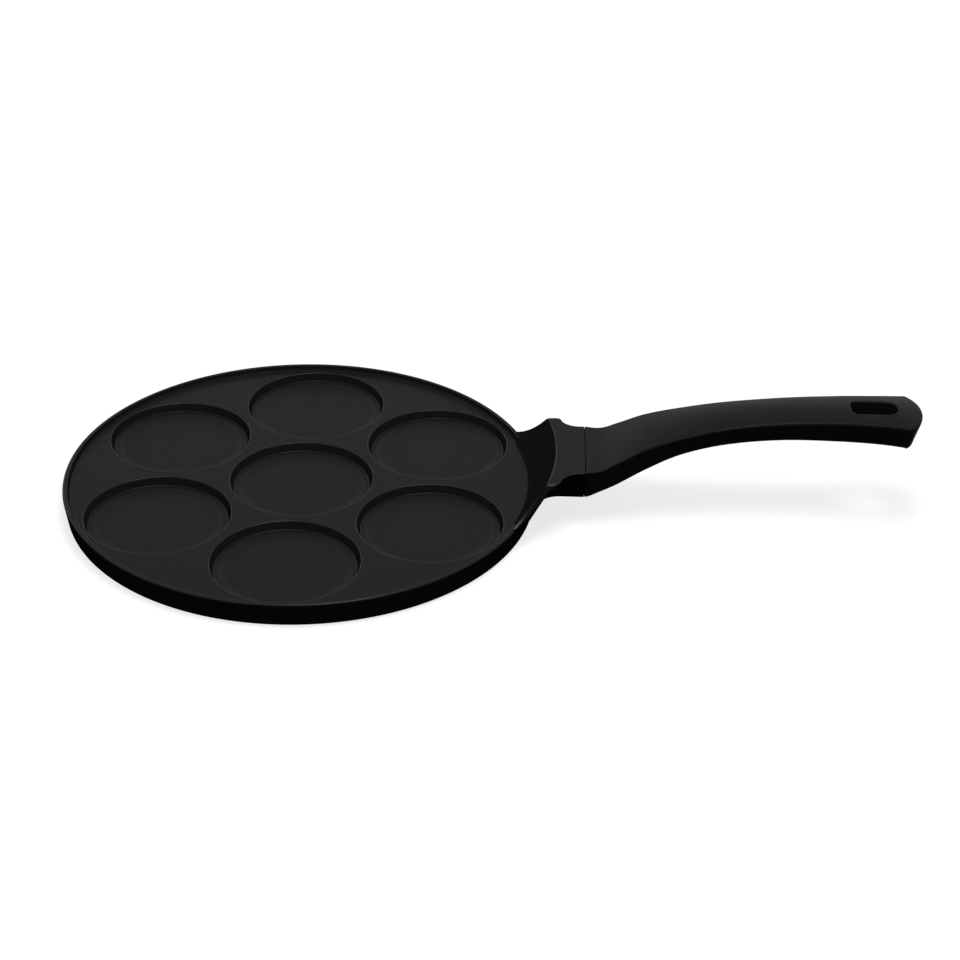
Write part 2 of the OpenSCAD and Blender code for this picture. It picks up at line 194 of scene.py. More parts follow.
def named(name):
    piece = bpy.context.active_object
    piece.name = name
    piece.data.name = name
    return piece


def tidy_mesh(piece):
    """Sews a mesh, closes its open ends and points its faces outwards."""
    make_active(piece)
    bpy.ops.object.mode_set(mode="EDIT")
    bpy.ops.mesh.select_all(action="SELECT")
    bpy.ops.mesh.remove_doubles(threshold=SEW)
    bpy.ops.mesh.fill_holes(sides=0)
    bpy.ops.mesh.select_all(action="SELECT")
    bpy.ops.mesh.normals_make_consistent(inside=False)
    bpy.ops.object.mode_set(mode="OBJECT")
    return piece


def spun(name, profile, steps):
    """A profile drawn point by point and spun once round the upright axis."""
    deselect()
    bpy.ops.mesh.primitive_plane_add(size=MM)
    piece = named(name)
    bpy.ops.object.mode_set(mode="EDIT")
    bpy.ops.mesh.select_mode(type="VERT")
    bpy.ops.mesh.select_all(action="SELECT")
    bpy.ops.mesh.merge(type="CENTER")
    bpy.ops.transform.translate(value=(profile[0][0], 0, profile[0][1]))
    for (xa, za), (xb, zb) in zip(profile, profile[1:]):
        bpy.ops.mesh.extrude_region_move(TRANSFORM_OT_translate={"value": (xb - xa, 0, zb - za)})
    bpy.ops.mesh.select_all(action="SELECT")
    bpy.ops.mesh.spin(steps=steps, angle=2 * math.pi, center=(0, 0, 0), axis=(0, 0, 1))
    bpy.ops.mesh.select_all(action="SELECT")
    bpy.ops.mesh.remove_doubles(threshold=SEW)
    bpy.ops.object.mode_set(mode="OBJECT")
    return piece


def skin(name, rings):
    """A grid laid through rings of points, sewn where its two long edges meet and closed at both ends."""
    across, along = len(rings[0]), len(rings)
    deselect()
    bpy.ops.mesh.primitive_grid_add(x_subdivisions=across, y_subdivisions=along - 1, size=2)
    piece = named(name)
    if len(piece.data.vertices) != (across + 1) * along:
        raise RuntimeError("the grid of %s has an unexpected number of corners" % name)
    for corner in piece.data.vertices:
        i = round((corner.co.x + 1) / 2 * across)
        j = round((corner.co.y + 1) / 2 * (along - 1))
        corner.co = rings[j][i % across]
    return tidy_mesh(piece)


def block(name, low, high):
    """A box between two corners, to cut with or to build on."""
    deselect()
    bpy.ops.mesh.primitive_cube_add(size=1)
    piece = named(name)
    for corner in piece.data.vertices:
        corner.co = [low[k] if corner.co[k] < 0 else high[k] for k in range(3)]
    return piece


def rod(name, x, z, radius, height):
    """An upright round bar on the pan's long axis."""
    deselect()
    bpy.ops.mesh.primitive_cylinder_add(
        vertices=ROD_SIDES, radius=radius, depth=height, location=(x, 0, z + height / 2),
    )
    piece = named(name)
    bpy.ops.object.transform_apply(location=True, rotation=True, scale=True)
    return piece


def combine(piece, other, how):
    """Adds another solid to a piece, or cuts it away."""
    make_active(piece)
    cut = piece.modifiers.new("combine", "BOOLEAN")
    cut.object = other
    cut.operation = how
    cut.solver = "EXACT"
    bpy.ops.object.modifier_apply(modifier=cut.name)
    mesh = other.data
    bpy.data.objects.remove(other)
    bpy.data.meshes.remove(mesh)
    return piece


def join(piece, others):
    make_active(piece)
    for other in others:
        other.select_set(True)
    bpy.ops.object.join()
    return piece


def smooth(piece):
    """Soft shading across gentle bends, with flat faces kept flat."""
    make_active(piece)
    bpy.ops.object.shade_smooth_by_angle(angle=SMOOTH_ANGLE)
    even = piece.modifiers.new("even shading", "WEIGHTED_NORMAL")
    even.weight = 100
    even.keep_sharp = True
    bpy.ops.object.modifier_apply(modifier=even.name)


def place(piece, *nodes, slot):
    """Sets a finished piece in the frame, in place of its CAD nodes."""
    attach(piece, "root")
    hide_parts(*nodes)


# Heights, radii and curves that the pieces share

# Fillet where the bracket's inner face runs down into the baking surface
BRACKET_FILLET = 1.4 * MM
# How far that face stands inside the rim, and below its top, where it covers it
COVER_IN = 0.25 * MM
COVER_DOWN = 0.3 * MM
# Rounding of the crest's two corners, seen from the front
CREST_CORNER = 3 * MM
# The outer face thickens from this height above the rim up to the crest, by this much
THICKENS_FROM = 8 * MM
THICKENS_BY = 3 * MM


class Layout:
    """Where the parts of the pan lie, worked out from the sizes."""

    def __init__(self, scene):
        s, h = scene.pan_casting, scene.pan_handle
        self.s, self.h = s, h
        self.pattern_r = s.pocket_width + s.web
        self.pan_r = self.pattern_r + s.pocket_width / 2 + s.border
        self.floor_z = s.floor_thickness
        self.ledge_z = self.floor_z + s.dish_drop
        self.land_z = self.ledge_z + s.pocket_depth
        self.rim_z = self.land_z + s.rim_rise
        self.crest_z = self.rim_z + s.crest_rise
        self.crest_r = self.pan_r + s.crest_out
        self.slope = s.crest_out / s.crest_rise
        self.seam_x = self.pan_r + s.neck_length
        self.top_climb = math.tan(s.neck_slope)
        self.neck_z = self.top_at(self.seam_x)
        self.under_z = self.neck_z - s.neck_thickness
        # The outer face of the flared wall is a cone whose axis stands off the pan's
        corner_x = math.sqrt(self.pan_r ** 2 - (s.flare_width / 2) ** 2)
        bulge = self.pan_r + s.flare_thickness - corner_x
        self.flare_r = ((s.flare_width / 2) ** 2 + bulge ** 2) / (2 * bulge)
        self.flare_x = self.pan_r + s.flare_thickness - self.flare_r
        # The sweep from the rim up to the crest, seen from the front
        a, b = (s.crest_width / 2, self.crest_z), (s.flare_width / 2, self.rim_z)
        chord = math.hypot(b[0] - a[0], b[1] - a[1])
        far = math.sqrt(s.sweep_radius ** 2 - (chord / 2) ** 2) / chord
        self.sweep = ((a[0] + b[0]) / 2 + (a[1] - b[1]) * far, (a[1] + b[1]) / 2 + (b[0] - a[0]) * far)
        z = self.crest_z - CREST_CORNER
        y = self.sweep[0] - math.sqrt((s.sweep_radius + CREST_CORNER) ** 2 - (self.sweep[1] - z) ** 2)
        self.corner = (y, z)
        self.corner_low = toward(self.corner, self.sweep, CREST_CORNER)[1]

    def top_at(self, x):
        return self.crest_z + (x - self.crest_r) * self.top_climb

    def inner_r(self, z, out=0.0):
        """Radius of the bracket's inner face, where out is 0 in its middle and 1 at its ends by the rim."""
        start_r = self.pan_r - self.s.rim_width + 0.5 * MM
        start_z = self.rim_z - 0.5 * MM
        # Below the baking surface it slopes in under it, so that the bracket grows out of solid metal
        deep = 3 * max(0.0, self.land_z - 0.2 * MM - z)
        # At its ends the face starts inside the rim
        end = start_r + max(0.0, z - start_z) * (self.crest_r - start_r) / (self.crest_z - start_z)
        # In its middle it covers the rim and runs down into the baking surface with a fillet
        fan = self.crest_r - self.pan_r + self.s.rim_width + COVER_IN
        fan /= self.crest_z - self.rim_z + COVER_DOWN
        middle = self.crest_r - (self.crest_z - z) * fan
        radius, angle = BRACKET_FILLET, math.atan(fan)
        bottom = self.land_z - 0.05 * MM
        turn_z = bottom + radius * (1 - math.sin(angle))
        if z < turn_z:
            turn_r = self.crest_r - (self.crest_z - turn_z) * fan
            drop = bottom + radius - max(z, bottom)
            middle = turn_r - radius * math.cos(angle) + math.sqrt(max(0.0, radius ** 2 - drop ** 2))
        return middle + (end - middle) * out - deep

    def outer_r(self, z):
        """Radius of the bracket's outer face, which grows thicker towards the crest."""
        share = min(1.0, max(0.0, (z - self.rim_z - THICKENS_FROM) / (self.s.crest_rise - THICKENS_FROM)))
        return self.flare_r + self.slope * (z - self.rim_z) + THICKENS_BY * share ** 2

    def half_width(self, z):
        """Half the bracket's width at a height."""
        if z <= self.rim_z:
            return self.s.flare_width / 2
        if z > self.corner_low:
            return self.corner[0] + math.sqrt(max(0.0, CREST_CORNER ** 2 - (z - self.corner[1]) ** 2))
        return self.sweep[0] - math.sqrt(self.s.sweep_radius ** 2 - (z - self.sweep[1]) ** 2)


# The dish

POCKETS = 6
RIM_STEPS = 320
POCKET_STEPS = 168
FILLET = 2.3 * MM
RIM_OUTER = 1.2 * MM
RIM_INNER = 0.5 * MM
BASE_ROUND = 2.5 * MM
# Radii of the grooves turned into the base, and the section of one, in millimetres
GROOVES = [20, 36, 52, 68, 84, 100, 116]
GROOVE_SECTION = [(0.9, 0), (0.3, 0.3), (-0.3, 0.3), (-0.9, 0)]


def rim_profile(at):
    """From the edge of the baking surface over the rim, down the wall and in under the base."""
    s = at.s
    inner = at.pan_r - s.rim_width
    fillet = arc(inner - FILLET, at.land_z + FILLET, FILLET, -90, 0, 10)
    edge = arc(inner + RIM_INNER, at.rim_z - RIM_INNER, RIM_INNER, 180, 90, 5)
    over = arc(at.pan_r - RIM_OUTER, at.rim_z - RIM_OUTER, RIM_OUTER, 90, 0, 9)
    foot = arc(at.pan_r - s.wall_draw - BASE_ROUND, BASE_ROUND, BASE_ROUND, 0, -90, 9)
    base = []
    for radius in reversed(GROOVES):
        base += [((radius + shift) * MM, depth * MM) for shift, depth in GROOVE_SECTION]
    return fillet + edge + over + foot + base + [(6 * MM, 0)]


def pocket_profile(at):
    """From the lip of a pocket down its leaning wall and over the foot to the flat floor."""
    s = at.s
    lip, foot, ledge, ease = 0.9 * MM, 0.5 * MM, 0.5 * MM, 5.6 * MM
    lean = s.pocket_lean
    radius = s.pocket_width / 2
    run = (s.pocket_depth - (lip + foot) * (1 - math.sin(lean))) / math.cos(lean)
    foot_x = radius - (lip + foot) * math.cos(lean) - run * math.sin(lean)
    degrees = math.degrees(lean)
    over = arc(radius, at.land_z - lip, lip, 90, 180 - degrees, 8)
    under = arc(foot_x, at.ledge_z + foot, foot, -degrees, -90, 7)
    steps = 7
    dish = []
    for i in range(steps + 1):
        t = i / steps
        dish.append((foot_x - ledge - ease * t, at.ledge_z - s.dish_drop * (3 * t * t - 2 * t ** 3)))
    return over + under + dish + [(dish[-1][0] - MM, at.floor_z)]


def flare_outline(at, z):
    """Plan of the flared wall at a height, round once from its inner face."""
    half, outer = at.half_width(z), at.outer_r(z)
    inner = at.inner_r(z, 1.0)
    inner_x = math.sqrt(inner ** 2 - half ** 2)
    outer_x = at.flare_x + math.sqrt(outer ** 2 - half ** 2)
    thick = outer_x - inner_x
    inner_round = min(1.4 * MM, 0.25 * thick)
    outer_round = min(2.6 * MM, thick - inner_round - 0.5 * MM)
    inside = math.asin(half / inner) - inner_round / inner
    outside = math.asin(half / outer) - outer_round / outer
    points = []
    steps = 48
    for i in range(steps + 1):
        a = -inside + 2 * inside * i / steps
        # 0 over the middle three quarters of the width, rising to 1 at the two ends
        out = max(0.0, 4 * abs(i / steps * 2 - 1) - 3)
        reach = at.inner_r(z, out * out * (3 - 2 * out))
        points.append((reach * math.cos(a), reach * math.sin(a)))
    flat_a, flat_b = (inner_x + inner_round, half), (outer_x - outer_round, half)
    points += bend(points[-1], (inner_x, half), flat_a, 5)[1:]
    points += line(flat_a, flat_b, 4)
    arc_end = (at.flare_x + outer * math.cos(outside), outer * math.sin(outside))
    points += bend(flat_b, (outer_x, half), arc_end, 8)
    for i in range(1, steps):
        a = outside - 2 * outside * i / steps
        points.append((at.flare_x + outer * math.cos(a), outer * math.sin(a)))
    points += [(x, -y) for x, y in reversed(bend(flat_b, (outer_x, half), arc_end, 8))]
    points += [(x, -y) for x, y in reversed(line(flat_a, flat_b, 4))]
    inner_end = (inner * math.cos(inside), inner * math.sin(inside))
    points += [(x, -y) for x, y in reversed(bend(inner_end, (inner_x, half), flat_a, 5)[1:])]
    return points


# Rounding along the top of the crest
TOP_ROUND = 0.45 * MM


def flared_wall(at):
    """The wall that sweeps up from the rim and leans out towards the handle."""
    heights = [0.6 * MM, 4 * MM, 8 * MM, 11 * MM, 13 * MM]
    steps = 26
    low, high = at.rim_z - 0.4 * MM, at.crest_z - 3.4 * MM
    heights += [low + (high - low) * i / steps for i in range(steps + 1)]
    heights += [at.crest_z - d * MM for d in (3.0, 2.7, 2.4, 2.1, 1.8, 1.5, 1.25, 1.0, 0.75)]
    rings = []
    for z in heights:
        rings.append([(x, y, z) for x, y in flare_outline(at, z)])
    for i in range(7):
        a = math.radians(15 * i)
        z = at.crest_z - TOP_ROUND * (1 - math.sin(a))
        plan = inset(flare_outline(at, z), TOP_ROUND * (1 - math.cos(a)))
        rings.append([(x, y, z) for x, y in plan])
    tilted = []
    for ring in rings:
        share = min(1.0, max(0.0, (ring[0][2] - at.rim_z) / (at.crest_z - at.rim_z)))
        tilted.append([(x, y, z + (x - at.crest_r) * at.top_climb * share) for x, y, z in ring])
    return skin("flared_wall", tilted)


# The handle's section, which the neck shares at the seam

UNDER_SHARE = 0.74
SEAM_EDGE = 0.7 * MM
UPPER_EDGE = 1.6 * MM
LOWER_EDGE = 3 * MM
# The neck's end is rounded, and the handle starts after a gap with a steep chamfer
SEAM_ROUND = 0.2 * MM
SEAM_GAP = 0.06 * MM
CHAMFER_WIDTH = 0.4 * MM
CHAMFER_DEPTH = 1.0 * MM


def closed_section(width, low_z, high_z, upper, crown):
    """Section of the neck or the handle: flat below, leaning sides and a crowned top, once round."""
    w = width / 2
    low, high = (w * UNDER_SHARE, low_z), (w, high_z)
    under_end, side_start = toward(low, (0, low_z), LOWER_EDGE), toward(low, high, LOWER_EDGE)
    side_end = toward(high, low, upper)
    inner = w - 1.6 * upper
    top_start = (inner, high_z + crown * (1 - (inner / w) ** 2))
    half = [(0, low_z)] + line((0, low_z), under_end, 6)
    half += bend(under_end, low, side_start, 8) + line(side_start, side_end, 8)
    half += bend(side_end, (w - 0.15 * upper, high_z + 0.2 * upper * (crown > 0)), top_start, 8)
    steps = 14
    for i in range(1, steps + 1):
        y = inner * (1 - i / steps)
        half.append((y, high_z + crown * (1 - (y / w) ** 2)))
    return half + [(-y, z) for y, z in reversed(half[1:-1])]


def neck(at):
    """The neck from the flared wall to the seam, with its fillets to the wall."""
    s = at.s
    base = closed_section(s.neck_width, at.under_z, at.neck_z, SEAM_EDGE, 0)
    half_top = s.neck_width / 2
    radius = s.neck_fillet
    lean = half_top * (1 - UNDER_SHARE) / s.neck_thickness
    # How far the wall turns away where the neck's side meets it, which sets the fillet's run
    crest_r = at.outer_r(at.crest_z)
    tilt = math.atan(at.slope)
    level_turn = math.asin((half_top + radius / 4) / crest_r)
    side_lean = math.atan(lean)
    across = math.tan(level_turn) * math.cos(tilt) + math.sin(tilt) * math.sin(side_lean)
    turn_away = math.atan(across / math.cos(side_lean))
    run = radius / math.tan(math.pi / 4 + turn_away / 2)

    def settle(y, z, share):
        """Where a point of the section goes at a share of the way from the wall to the seam."""
        side = half_top - (at.neck_z - z) * lean
        corner_x = at.flare_x + math.sqrt(at.outer_r(z) ** 2 - side ** 2)
        x, wide, height = at.seam_x, y, z
        for _ in range(6):
            # A hair over the bracket's top, so that the two faces don't lie in one plane
            tall = at.top_at(x) + 0.01 * MM - at.under_z
            height = at.under_z + (z - at.under_z) * tall / s.neck_thickness
            gap = min(max(0.0, corner_x + run - x), 0.97 * radius)
            wide = y * (1 + (radius - math.sqrt(radius ** 2 - gap ** 2)) / side)
            # The neck starts inside the wall, four tenths of the way through it
            wall = 0.6 * math.sqrt(max(0.0, at.inner_r(height) ** 2 - wide ** 2))
            wall += 0.4 * (at.flare_x + math.sqrt(max(0.0, at.outer_r(height) ** 2 - wide ** 2)))
            x = wall + share * (at.seam_x - SEAM_ROUND - wall)
        return (x, wide, height)

    rings = [[settle(y, z, t / 24) for y, z in base] for t in range(25)]
    for i in range(1, 7):
        a = math.radians(15 * i)
        small = inset(base, SEAM_ROUND * (1 - math.cos(a)))
        rings.append([(at.seam_x - SEAM_ROUND * (1 - math.sin(a)), y, z) for y, z in small])
    return skin("neck", rings)


# The tang and the bores for its screw
SCREW_IN = 14.5 * MM
TANG_HALF = 11 * MM
TANG_LENGTH = 23 * MM
TANG_DROP = 4.4 * MM
TANG_END = 4.4 * MM
TANG_ROUND = 0.6 * MM
SEAT = 3.8 * MM
HEAD_ROOM = 4.8 * MM
SHANK_ROOM = 2.8 * MM
INSERT_ROOM = 4 * MM
INSERT_DEPTH = 6 * MM


def tang(at):
    """The tongue that enters the handle: level on top, and thinner towards its end."""
    top = at.neck_z - TANG_DROP
    root = (at.seam_x - 8 * MM, -TANG_HALF, top - 12 * MM)
    piece = block("tang", root, (at.seam_x + TANG_LENGTH, TANG_HALF, top))
    make_active(piece)
    bpy.ops.object.mode_set(mode="EDIT")
    bpy.ops.mesh.select_all(action="SELECT")
    bpy.ops.mesh.bisect(plane_co=(at.seam_x, 0, 0), plane_no=(1, 0, 0))
    mesh = bmesh.from_edit_mesh(piece.data)
    for corner in mesh.verts:
        if corner.co.x > at.seam_x + MM and corner.co.z < top - MM:
            corner.co.z = top - TANG_END
    bmesh.update_edit_mesh(piece.data)
    bpy.ops.mesh.select_all(action="SELECT")
    bpy.ops.mesh.bevel(offset=TANG_ROUND, segments=3, affect="EDGES")
    bpy.ops.object.mode_set(mode="OBJECT")
    return tidy_mesh(piece)


class PAN_OT_cast_body(bpy.types.Operator):
    """Casts the pan: the rim and wall spun, the bracket and tang built on, and the pockets sewn in"""
    bl_idname = "pan.cast_body"
    bl_label = "Cast the pan"

    def execute(self, context):
        at = Layout(context.scene)
        body = tidy_mesh(spun("pan_casting", rim_profile(at), RIM_STEPS))
        combine(body, flared_wall(at), "UNION")
        combine(body, neck(at), "UNION")
        combine(body, tang(at), "UNION")
        screw_x = at.seam_x + SCREW_IN
        seat_z = at.neck_z - TANG_DROP - SEAT
        below = at.under_z - MM
        combine(body, rod("head_bore", screw_x, below, HEAD_ROOM, seat_z - at.under_z + MM), "DIFFERENCE")
        combine(body, rod("shank_bore", screw_x, below, SHANK_ROOM, at.s.neck_thickness), "DIFFERENCE")
        self.open_top(body, at)
        pocket = spun("pocket", pocket_profile(at), POCKET_STEPS)
        copies = [pocket]
        for i in range(POCKETS):
            a = math.radians((i + 0.5) * 360 / POCKETS)
            copy = pocket.copy()
            copy.data = pocket.data.copy()
            context.scene.collection.objects.link(copy)
            spot = (at.pattern_r * math.cos(a), at.pattern_r * math.sin(a), 0)
            copy.data.transform(Matrix.Translation(spot))
            copies.append(copy)
        join(body, copies)
        self.lay_land(body, at)
        smooth(body)
        body.data.materials.clear()
        body.data.materials.append(coated_casting(context.scene.pan_finish))
        place(body, "pan_body", slot="coated_casting")
        return {"FINISHED"}

    def open_top(self, body, at):
        """Takes away the disc over the baking surface, which the pockets and the land replace."""
        make_active(body)
        bpy.ops.object.mode_set(mode="EDIT")
        bpy.ops.mesh.select_mode(type="FACE")
        bpy.ops.mesh.select_all(action="DESELECT")
        mesh = bmesh.from_edit_mesh(body.data)
        reach = at.pan_r - at.s.rim_width - FILLET + SEW
        for face in mesh.faces:
            flat = all(abs(v.co.z - at.land_z) < SEW for v in face.verts)
            if flat and all(v.co.xy.length < reach + SEW for v in face.verts):
                face.select_set(True)
        bmesh.update_edit_mesh(body.data)
        bpy.ops.mesh.delete(type="ONLY_FACE")
        bpy.ops.object.mode_set(mode="OBJECT")

    def lay_land(self, body, at):
        """Fills between the lips and the rim, and closes the pockets' floors."""
        make_active(body)
        bpy.ops.object.mode_set(mode="EDIT")
        bpy.ops.mesh.select_mode(type="EDGE")
        bpy.ops.mesh.select_all(action="DESELECT")
        mesh = bmesh.from_edit_mesh(body.data)
        for edge in mesh.edges:
            if edge.is_boundary and all(abs(v.co.z - at.land_z) < SEW for v in edge.verts):
                edge.select_set(True)
        bmesh.update_edit_mesh(body.data)
        bpy.ops.mesh.fill(use_beauty=True)
        bpy.ops.object.mode_set(mode="OBJECT")
        tidy_mesh(body)


# The handle

# Rows of share of its length, share of its top's climb, share of its underside's climb
CLIMB = [
    (0.00, 0.000, 0.000), (0.05, 0.020, 0.090), (0.10, 0.170, 0.210), (0.18, 0.420, 0.450),
    (0.28, 0.620, 0.700), (0.41, 0.805, 0.880), (0.58, 0.940, 0.985), (0.75, 0.998, 1.000),
    (0.88, 1.000, 0.985), (1.00, 0.985, 0.945),
]
# Shares of the length over which the crown grows at the seam and sinks at the tip
CROWN_GROWS = 0.3
CROWN_SINKS = 0.08
# The power that keeps the round of the end near the tip, and the rounding of its edge
END_FADE = 8
END_EDGE = 2 * MM


def climb_at(column, u):
    """A smooth curve through the rows of the climb."""
    rows = CLIMB
    i = max(k for k in range(len(rows) - 1) if rows[k][0] <= u)

    def slope(k):
        if k == 0:
            return 0.0
        a, b = rows[k - 1], rows[min(k + 1, len(rows) - 1)]
        return (b[column] - a[column]) / (b[0] - a[0])

    step = rows[i + 1][0] - rows[i][0]
    t = (u - rows[i][0]) / step
    a, b, da, db = rows[i][column], rows[i + 1][column], slope(i) * step, slope(i + 1) * step
    return (
        a * (2 * t ** 3 - 3 * t ** 2 + 1) + b * (3 * t ** 2 - 2 * t ** 3)
        + da * (t ** 3 - 2 * t ** 2 + t) + db * (t ** 3 - t ** 2)
    )


class HandleShape:
    """The handle's outlines along its length, as shares u from the seam to the tip."""

    def __init__(self, at):
        self.at, self.h = at, at.h
        self.under_rise = self.h.rise + at.s.neck_thickness - self.h.grip_thickness
        self.grip_z = at.neck_z + self.h.rise

    def top(self, u):
        return self.at.neck_z + self.h.rise * climb_at(1, u)

    def bottom(self, u):
        return self.at.under_z + self.under_rise * climb_at(2, u)

    def crown(self, u):
        return self.h.crown * min(1, u / CROWN_GROWS, 0.5 + (1 - u) / CROWN_SINKS / 2)

    def edge(self, u):
        return SEAM_EDGE + (UPPER_EDGE - SEAM_EDGE) * min(1, u / CROWN_GROWS)

    def width(self, along):
        h = self.h
        if along < h.waist_distance:
            part = 1 - along / h.waist_distance
            return h.waist_width + (self.at.s.neck_width - h.waist_width) * part ** 2
        part = (along - h.waist_distance) / (h.reach - h.waist_distance)
        return h.waist_width + (h.end_width - h.waist_width) * part ** 2

    def section(self, u):
        width = self.width(u * self.h.reach)
        return closed_section(width, self.bottom(u), self.top(u), self.edge(u), self.crown(u))

    def sag(self, y, z):
        """How far a point of the end lies short of the tip."""
        r = self.h.end_radius
        draw = self.h.end_draw * (self.grip_z - z) / self.h.grip_thickness
        return r - math.sqrt(r ** 2 - min(abs(y), r) ** 2) + draw

    def ring(self, u, inwards=0.0, back=0.0, share=1.0):
        middle = (self.top(u) + self.bottom(u)) / 2
        wide = (1 - 2 * inwards / self.h.end_width) * share
        tall = (1 - 2 * inwards / self.h.grip_thickness) * share
        start = self.at.seam_x + SEAM_GAP
        points = []
        for y, z in self.section(u):
            y, z = y * wide, middle + (z - middle) * tall
            x = start + u * (self.h.reach - SEAM_GAP) - back - self.sag(y, z) * u ** END_FADE
            points.append((x, y, z))
        return points

    def surface(self, x, y, below):
        """Height of the grip's top or underside at a place."""
        u = (x - self.at.seam_x) / self.h.reach
        if below:
            return self.bottom(u)
        w = self.width(x - self.at.seam_x) / 2
        return self.top(u) + self.crown(u) * (1 - (y / w) ** 2)


def slot_outline(shape, grow):
    """The hanging slot from above, rounder at the end nearer the tip, grown by a margin."""
    h = shape.h
    tip = shape.at.seam_x + h.reach - h.slot_inset
    start = tip - h.slot_length
    half = h.slot_width / 2
    near, far = 4.2 * MM, 6.0 * MM
    corners = [(tip - far, half - far, far, 0), (start + near, half - near, near, 90),
               (start + near, near - half, near, 180), (tip - far, far - half, far, 270)]
    points = []
    for x, y, r, first in corners:
        points += arc(x, y, r + grow, first, first + 90, 12)
    return points


def slot_cutter(shape):
    """A plug in the shape of the slot that widens to round its edges at the top and the underside."""
    edge = 1.0 * MM
    rings = []

    def level(below, depth, grow):
        sign = 1 if below else -1
        plan = slot_outline(shape, grow)
        rings.append([(x, y, shape.surface(x, y, below) + sign * depth) for x, y in plan])

    turns = [75, 60, 45, 30, 15, 0]
    level(True, -8 * MM, 2.2 * edge)
    level(True, -0.3 * MM, 2.2 * edge)
    for a in turns:
        r = math.radians(a)
        level(True, edge * (1 - math.sin(r)), edge * (1 - math.cos(r)))
    for a in reversed(turns):
        r = math.radians(a)
        level(False, edge * (1 - math.sin(r)), edge * (1 - math.cos(r)))
    level(False, -0.3 * MM, 2.2 * edge)
    level(False, -8 * MM, 2.2 * edge)
    return skin("slot_cutter", rings)


class PAN_OT_mould_handle(bpy.types.Operator):
    """Moulds the handle through its sections, with the hanging slot and the socket for the tang"""
    bl_idname = "pan.mould_handle"
    bl_label = "Mould the handle"

    def execute(self, context):
        at = Layout(context.scene)
        shape = HandleShape(at)
        # A steep chamfer round the start draws the dark seam line
        middle = (at.neck_z + at.under_z) / 2
        wide, tall = 1 - 2 * CHAMFER_DEPTH / at.s.neck_width, 1 - 2 * CHAMFER_DEPTH / at.s.neck_thickness
        start_x = at.seam_x + SEAM_GAP
        rings = [[(start_x, y * wide, middle + (z - middle) * tall) for y, z in shape.section(0)]]
        steps = 150
        start = CHAMFER_WIDTH / shape.h.reach
        end = 1 - END_EDGE / shape.h.reach
        rings += [shape.ring(start + (end - start) * k / steps) for k in range(steps)]
        for i in range(9):
            a = math.radians(90 * i / 8)
            rings.append(shape.ring(1, END_EDGE * (1 - math.cos(a)), END_EDGE * (1 - math.sin(a))))
        rings += [shape.ring(1, END_EDGE, 0, 1 - k / 6) for k in range(1, 6)]
        handle = skin("handle_moulding", rings)
        combine(handle, slot_cutter(shape), "DIFFERENCE")
        top = at.neck_z - TANG_DROP
        play = 0.3 * MM
        near = (at.seam_x - MM, -TANG_HALF - play, 0)
        far = (at.seam_x + TANG_LENGTH + play, TANG_HALF + play, top)
        combine(handle, block("room", near, far), "DIFFERENCE")
        bore = rod("insert_bore", at.seam_x + SCREW_IN, top - 0.5 * MM, INSERT_ROOM, INSERT_DEPTH)
        combine(handle, bore, "DIFFERENCE")
        smooth(handle)
        handle.data.materials.clear()
        handle.data.materials.append(phenolic_moulding(context.scene.pan_finish))
        place(handle, "handle", slot="phenolic")
        return {"FINISHED"}


# Materials

def linear(hex_colour):
    """An sRGB hex colour as linear values."""
    text = hex_colour.lstrip("#")
    values = [int(text[i:i + 2], 16) / 255 for i in (0, 2, 4)]
    return tuple([v / 12.92 if v <= 0.04045 else ((v + 0.055) / 1.055) ** 2.4 for v in values] + [1.0])


def add_node(tree, kind, settings=None, **links):
    """Adds a node, sets its properties and named inputs, and links outputs into it."""
    node = tree.nodes.new(kind)
    for key, value in (settings or {}).items():
        if isinstance(key, int) or key in node.inputs:
            node.inputs[key].default_value = value
        else:
            setattr(node, key, value)
    for key, source in links.items():
        place_in = int(key[1:]) if key[0] == "n" and key[1:].isdigit() else key.replace("_", " ")
        tree.links.new(source, node.inputs[place_in])
    return node


def new_material(name):
    material = bpy.data.materials.new(name)
    material.use_nodes = True
    tree = material.node_tree
    tree.nodes.clear()
    return material, tree


def facing_up(tree, start, end, low, high):
    """A value that goes from low to high as a face turns to look up, between two heights of its normal."""
    normal = add_node(tree, "ShaderNodeNewGeometry").outputs["Normal"]
    height = add_node(tree, "ShaderNodeSeparateXYZ", Vector=normal).outputs[2]
    ramp = {
        "interpolation_type": "SMOOTHSTEP", "From Min": start, "From Max": end,
        "To Min": low, "To Max": high,
    }
    return add_node(tree, "ShaderNodeMapRange", ramp, Value=height).outputs[0]


# Painted specular level of the coat: a painted highlight on its rounded edges, and the level on its flat
# faces
PAINTED_EDGE_SHEEN = 0.125
PAINTED_FLAT_SHEEN = 0.032
# Height of the middle of the fillet along the rim, and how far it reaches up and down
FILLET_MIDDLE = 12.1 * MM
FILLET_REACH = 1.08 * MM
# The turned part of the base, and the distance between its rings
BARE_RADIUS = 125.5 * MM
BARE_HEIGHT = 0.35 * MM
RING_PITCH = 0.7 * MM


